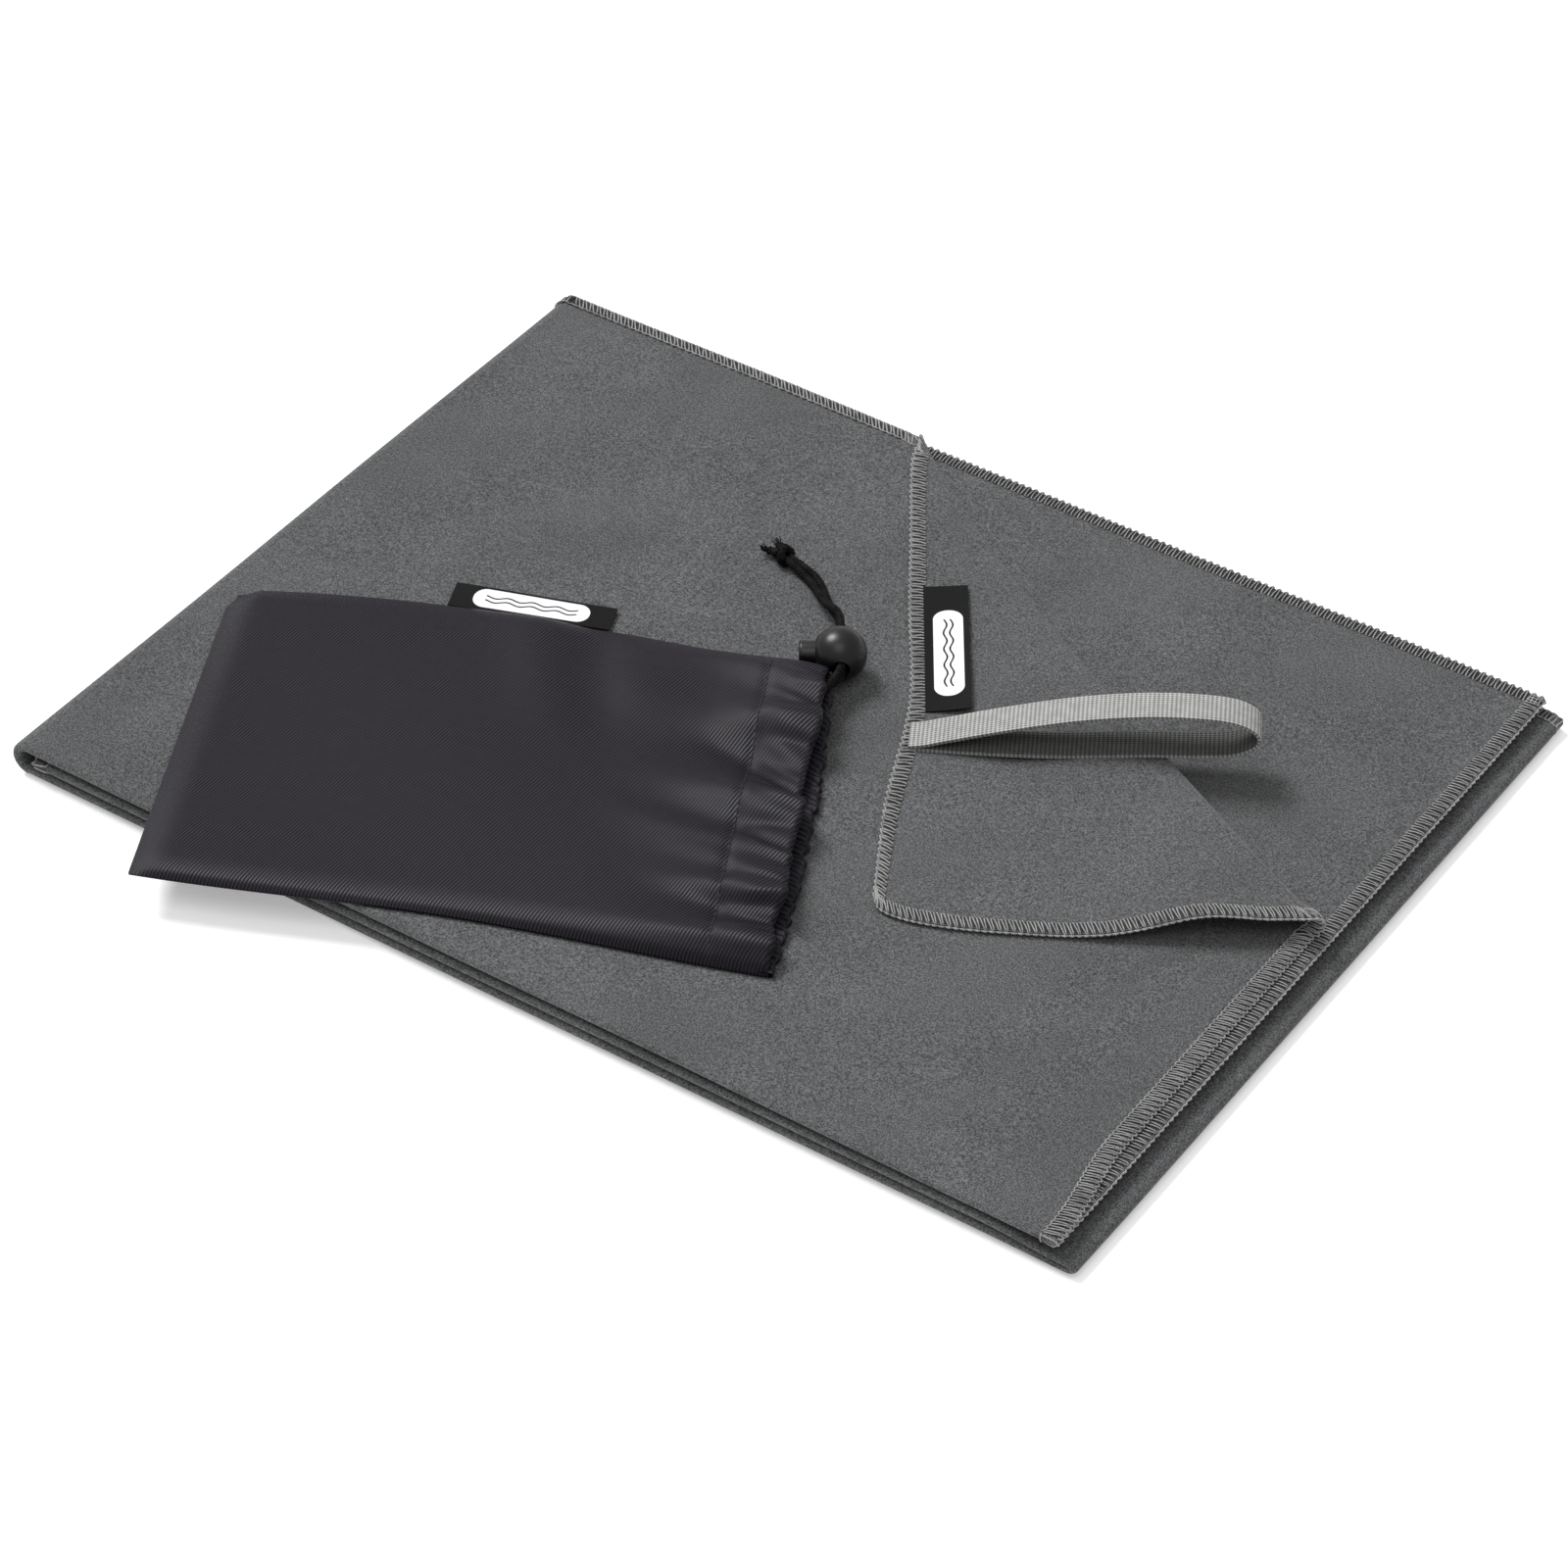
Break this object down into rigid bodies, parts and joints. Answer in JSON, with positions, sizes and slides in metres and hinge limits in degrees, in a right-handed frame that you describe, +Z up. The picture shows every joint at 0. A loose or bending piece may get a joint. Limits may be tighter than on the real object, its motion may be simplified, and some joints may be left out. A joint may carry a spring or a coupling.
{
  "type": "quick dry towel",
  "caption": "Folded microfibre travel towel with an overlocked hem, one corner turned back to show its elastic loop, and its drawstring pouch with a ball cord lock on top.",
  "frame": {"origin": "middle of the folded towel's underside, on the ground", "axes": "+X along the folded towel's long side, +Y to its hemmed back edge, +Z up"},
  "size_m": [0.333, 0.274, 0.0273],
  "materials": {
    "towel_cloth": "matt suede microfibre",
    "hem_thread": "overlock thread",
    "elastic": "woven elastic band",
    "label_weave": "satin woven label with a white patch",
    "pouch_twill": "soft sheen twill",
    "pouch_thread": "thread",
    "cord_braid": "braided cord",
    "lock_plastic": "satin moulded plastic",
    "spring_steel": "drawn wire"
  },
  "bodies": {
    "towel_base": {"base_cloth": "towel_cloth", "base_side_hem": "hem_thread", "middle_end_hem": "hem_thread", "left_fold_cloth": "towel_cloth", "left_fold_hem": "hem_thread"},
    "top_section": {"top_cloth": "towel_cloth", "top_side_hem": "hem_thread", "top_end_hem": "hem_thread", "corner_roll": "towel_cloth"},
    "corner_flap": {"flap_cloth": "towel_cloth", "flap_hem": "hem_thread"},
    "hanging_loop": {"hanging_loop": "elastic"},
    "towel_label": {"towel_label": "label_weave"},
    "pouch": {"pouch_back_panel": "pouch_twill", "pouch_front_panel": "pouch_twill", "casing_stitching": "pouch_thread", "drawcord": "cord_braid", "cord_knot": "cord_braid", "cord_ends": "cord_braid"},
    "pouch_label": {"pouch_label": "label_weave"},
    "cord_lock": {"cord_lock_ball": "lock_plastic", "cord_lock_spring": "spring_steel"},
    "plunger": {"cord_lock_plunger": "lock_plastic"}
  },
  "joints": [
    {"name": "top_section_open", "type": "hinge", "parent": "towel_base", "child": "top_section", "pos_m": [-0.1616, 0, 0.0049], "axis": [0, -1, 0], "range_deg": [0, 90], "deforming": ["left_fold_cloth", "left_fold_hem"]},
    {"name": "corner_fold", "type": "hinge", "parent": "top_section", "child": "corner_flap", "pos_m": [-0.0368, 0.125, 0.01], "axis": [-0.8609, 0.5087, -0.0127], "range_deg": [0, 180], "deforming": ["corner_roll", "hanging_loop"]},
    {"name": "loop_swing", "type": "hinge", "parent": "corner_flap", "child": "hanging_loop", "pos_m": [0.03168, 0.01088, 0.0122], "axis": [-0.4824, 0.8759, 0], "range_deg": [-150, 0]},
    {"name": "towel_label_flip", "type": "hinge", "parent": "corner_flap", "child": "towel_label", "pos_m": [0.01337, 0.04418, 0.0116], "axis": [-0.4824, 0.8759, 0], "range_deg": [-150, 0]},
    {"name": "pouch_lift", "type": "slide", "parent": "top_section", "child": "pouch", "axis": [0, 0, 1], "range_m": [0, 0.15]},
    {"name": "pouch_label_flip", "type": "hinge", "parent": "pouch", "child": "pouch_label", "pos_m": [-0.10492, -0.01364, 0.00985], "axis": [0.9376, 0.3476, 0], "range_deg": [0, 90]},
    {"name": "cord_lock_slide", "type": "slide", "parent": "pouch", "child": "cord_lock", "axis": [-0.5557, 0.8314, 0], "range_m": [0, 0.006]},
    {"name": "plunger_press", "type": "slide", "parent": "cord_lock", "child": "plunger", "axis": [0.8314, 0.5557, 0], "range_m": [0, 0.002], "stiffness_N_per_m": 400, "springref_m": -0.0015, "deforming": ["cord_lock_spring"]}
  ]
}
